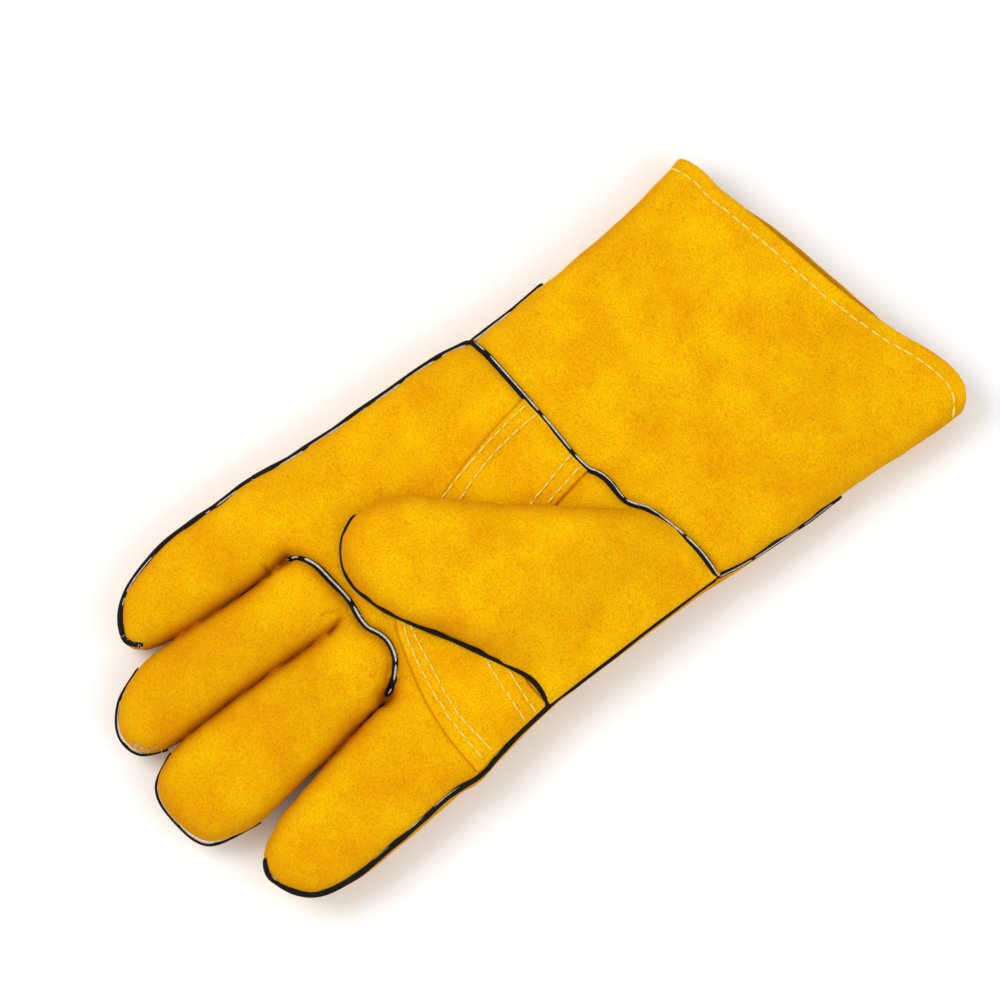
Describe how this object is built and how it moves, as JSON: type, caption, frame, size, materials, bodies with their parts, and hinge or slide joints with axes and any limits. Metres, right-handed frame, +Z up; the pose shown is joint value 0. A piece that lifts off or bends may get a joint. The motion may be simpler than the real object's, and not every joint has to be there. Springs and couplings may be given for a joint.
{
  "type": "heat resistant glove",
  "caption": "Left-hand suede gauntlet lying palm up: welted leather panels over a cotton lining, thumb folded over the palm, fingers bending at their bases, wide open cuff.",
  "frame": {"origin": "bottom centre of the glove's box, on the surface it lies on", "axes": "+X towards the little finger, +Y towards the fingertips, +Z up out of the palm"},
  "size_m": [0.1614, 0.3598, 0.056],
  "materials": {
    "suede": "brushed golden yellow split cowhide",
    "welt": "black leather welting",
    "thread": "heavy off-white sewing thread",
    "lining": "brushed cream cotton"
  },
  "bodies": {
    "hand": {"palm_panel": "suede", "thumb_base_panel": "suede", "hand_back_panel": "suede", "hand_lining": "lining", "index_side_welt": "welt", "little_side_welt": "welt", "reinforcement_strap": "suede", "strap_stitching": "thread", "finger_base_welt": "welt", "wrist_welt": "welt"},
    "cuff": {"cuff_palm_panel": "suede", "cuff_back_panel": "suede", "cuff_lining": "lining", "cuff_hem": "suede", "cuff_index_welt": "welt", "cuff_little_welt": "welt", "hem_stitching": "thread"},
    "thumb": {"thumb_outer_panel": "suede", "thumb_inner_panel": "suede", "thumb_lining": "lining", "thumb_welt": "welt"},
    "index_finger": {"index_finger_front": "suede", "index_finger_back": "suede", "index_finger_lining": "lining", "index_finger_welt": "welt"},
    "middle_finger": {"middle_finger_front": "suede", "middle_finger_back": "suede", "middle_finger_lining": "lining", "middle_finger_welt": "welt"},
    "ring_finger": {"ring_finger_front": "suede", "ring_finger_back": "suede", "ring_finger_lining": "lining", "ring_finger_welt": "welt"},
    "little_finger": {"little_finger_front": "suede", "little_finger_back": "suede", "little_finger_lining": "lining", "little_finger_welt": "welt"}
  },
  "joints": [
    {"name": "index_finger_bend", "type": "hinge", "parent": "hand", "child": "index_finger", "pos_m": [-0.04928, 0.07793, 0.019], "axis": [1, 0, 0], "range_deg": [0, 75]},
    {"name": "middle_finger_bend", "type": "hinge", "parent": "hand", "child": "middle_finger", "pos_m": [-0.00828, 0.07793, 0.019], "axis": [1, 0, 0], "range_deg": [0, 75]},
    {"name": "ring_finger_bend", "type": "hinge", "parent": "hand", "child": "ring_finger", "pos_m": [0.02772, 0.07793, 0.019], "axis": [1, 0, 0], "range_deg": [0, 75]},
    {"name": "little_finger_bend", "type": "hinge", "parent": "hand", "child": "little_finger", "pos_m": [0.06172, 0.07793, 0.019], "axis": [1, 0, 0], "range_deg": [0, 75]},
    {"name": "thumb_lift", "type": "hinge", "parent": "hand", "child": "thumb", "pos_m": [-0.06228, -0.01007, 0.032], "axis": [0, -1, 0], "range_deg": [0, 75]},
    {"name": "wrist_bend", "type": "hinge", "parent": "hand", "child": "cuff", "pos_m": [0.00172, -0.04207, 0.015], "axis": [-0.9925, -0.1223, 0], "range_deg": [-20, 28]}
  ]
}
